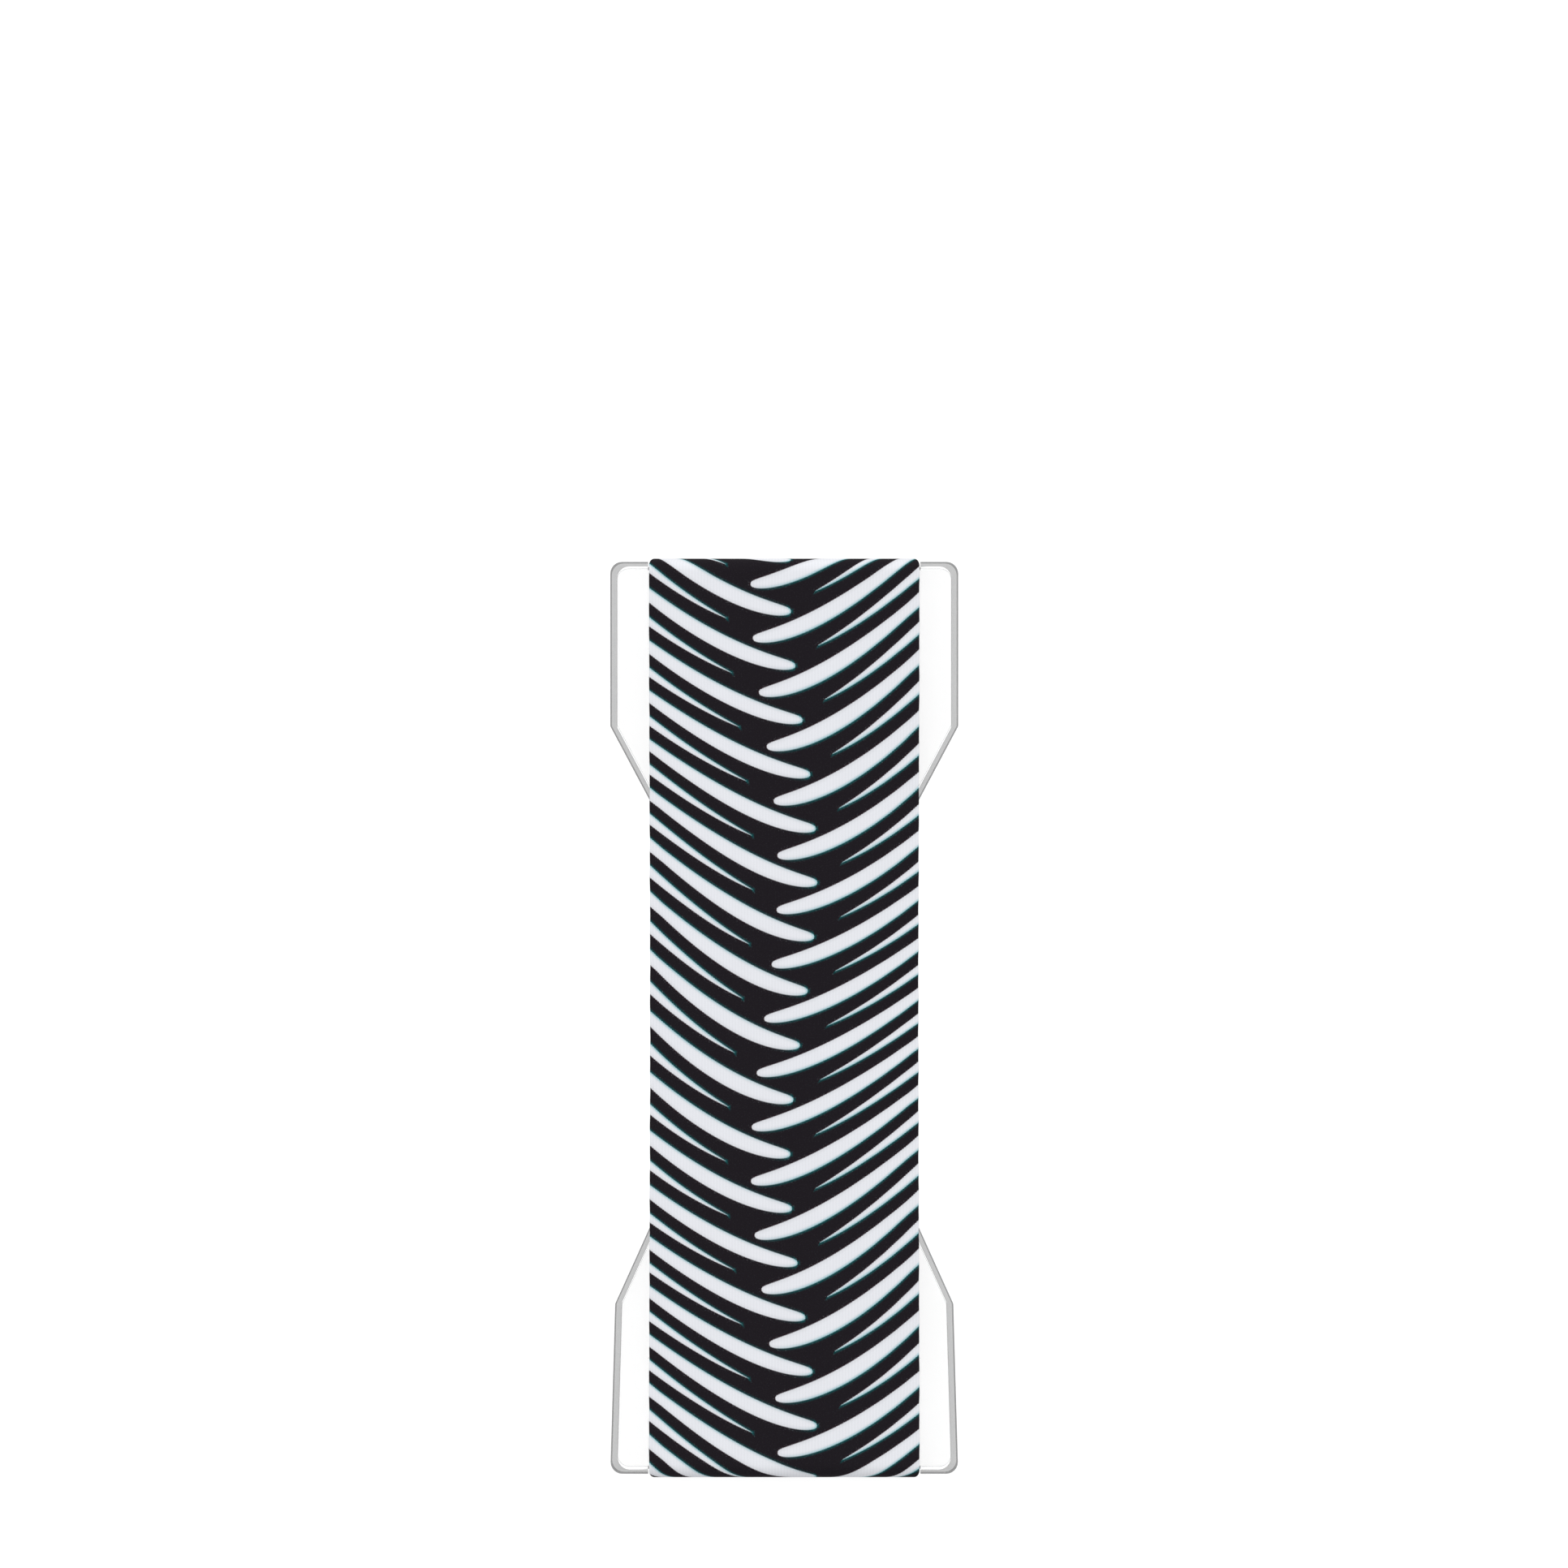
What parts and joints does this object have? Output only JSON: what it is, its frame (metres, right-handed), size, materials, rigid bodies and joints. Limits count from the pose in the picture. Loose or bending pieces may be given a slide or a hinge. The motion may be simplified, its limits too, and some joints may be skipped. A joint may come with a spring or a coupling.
{
  "type": "phone strap",
  "caption": "Flat printed elastic finger strap stretched over a clear dog-bone base plate with an adhesive back, to grip a phone.",
  "frame": {"origin": "centre of the adhesive face, on the surface that the strap lies on or sticks to", "axes": "+X across the strap, +Y along it towards the upper end, +Z away from the phone"},
  "size_m": [0.0384, 0.1016, 0.0042],
  "materials": {
    "clear_plastic": "clear polycarbonate, polished, with grey edges",
    "white_elastic": "matte fine-knit elastic, off white",
    "black_print": "matte black ink on knit elastic",
    "milky_plastic": "moulded, satin",
    "clear_adhesive": "clear acrylic foam"
  },
  "bodies": {
    "root": {"adhesive_pad": "clear_adhesive", "base_plate": "clear_plastic", "clamp_bar_upper": "milky_plastic", "clamp_bar_lower": "milky_plastic", "strap": "white_elastic", "strap_print": "black_print"}
  },
  "joints": []
}
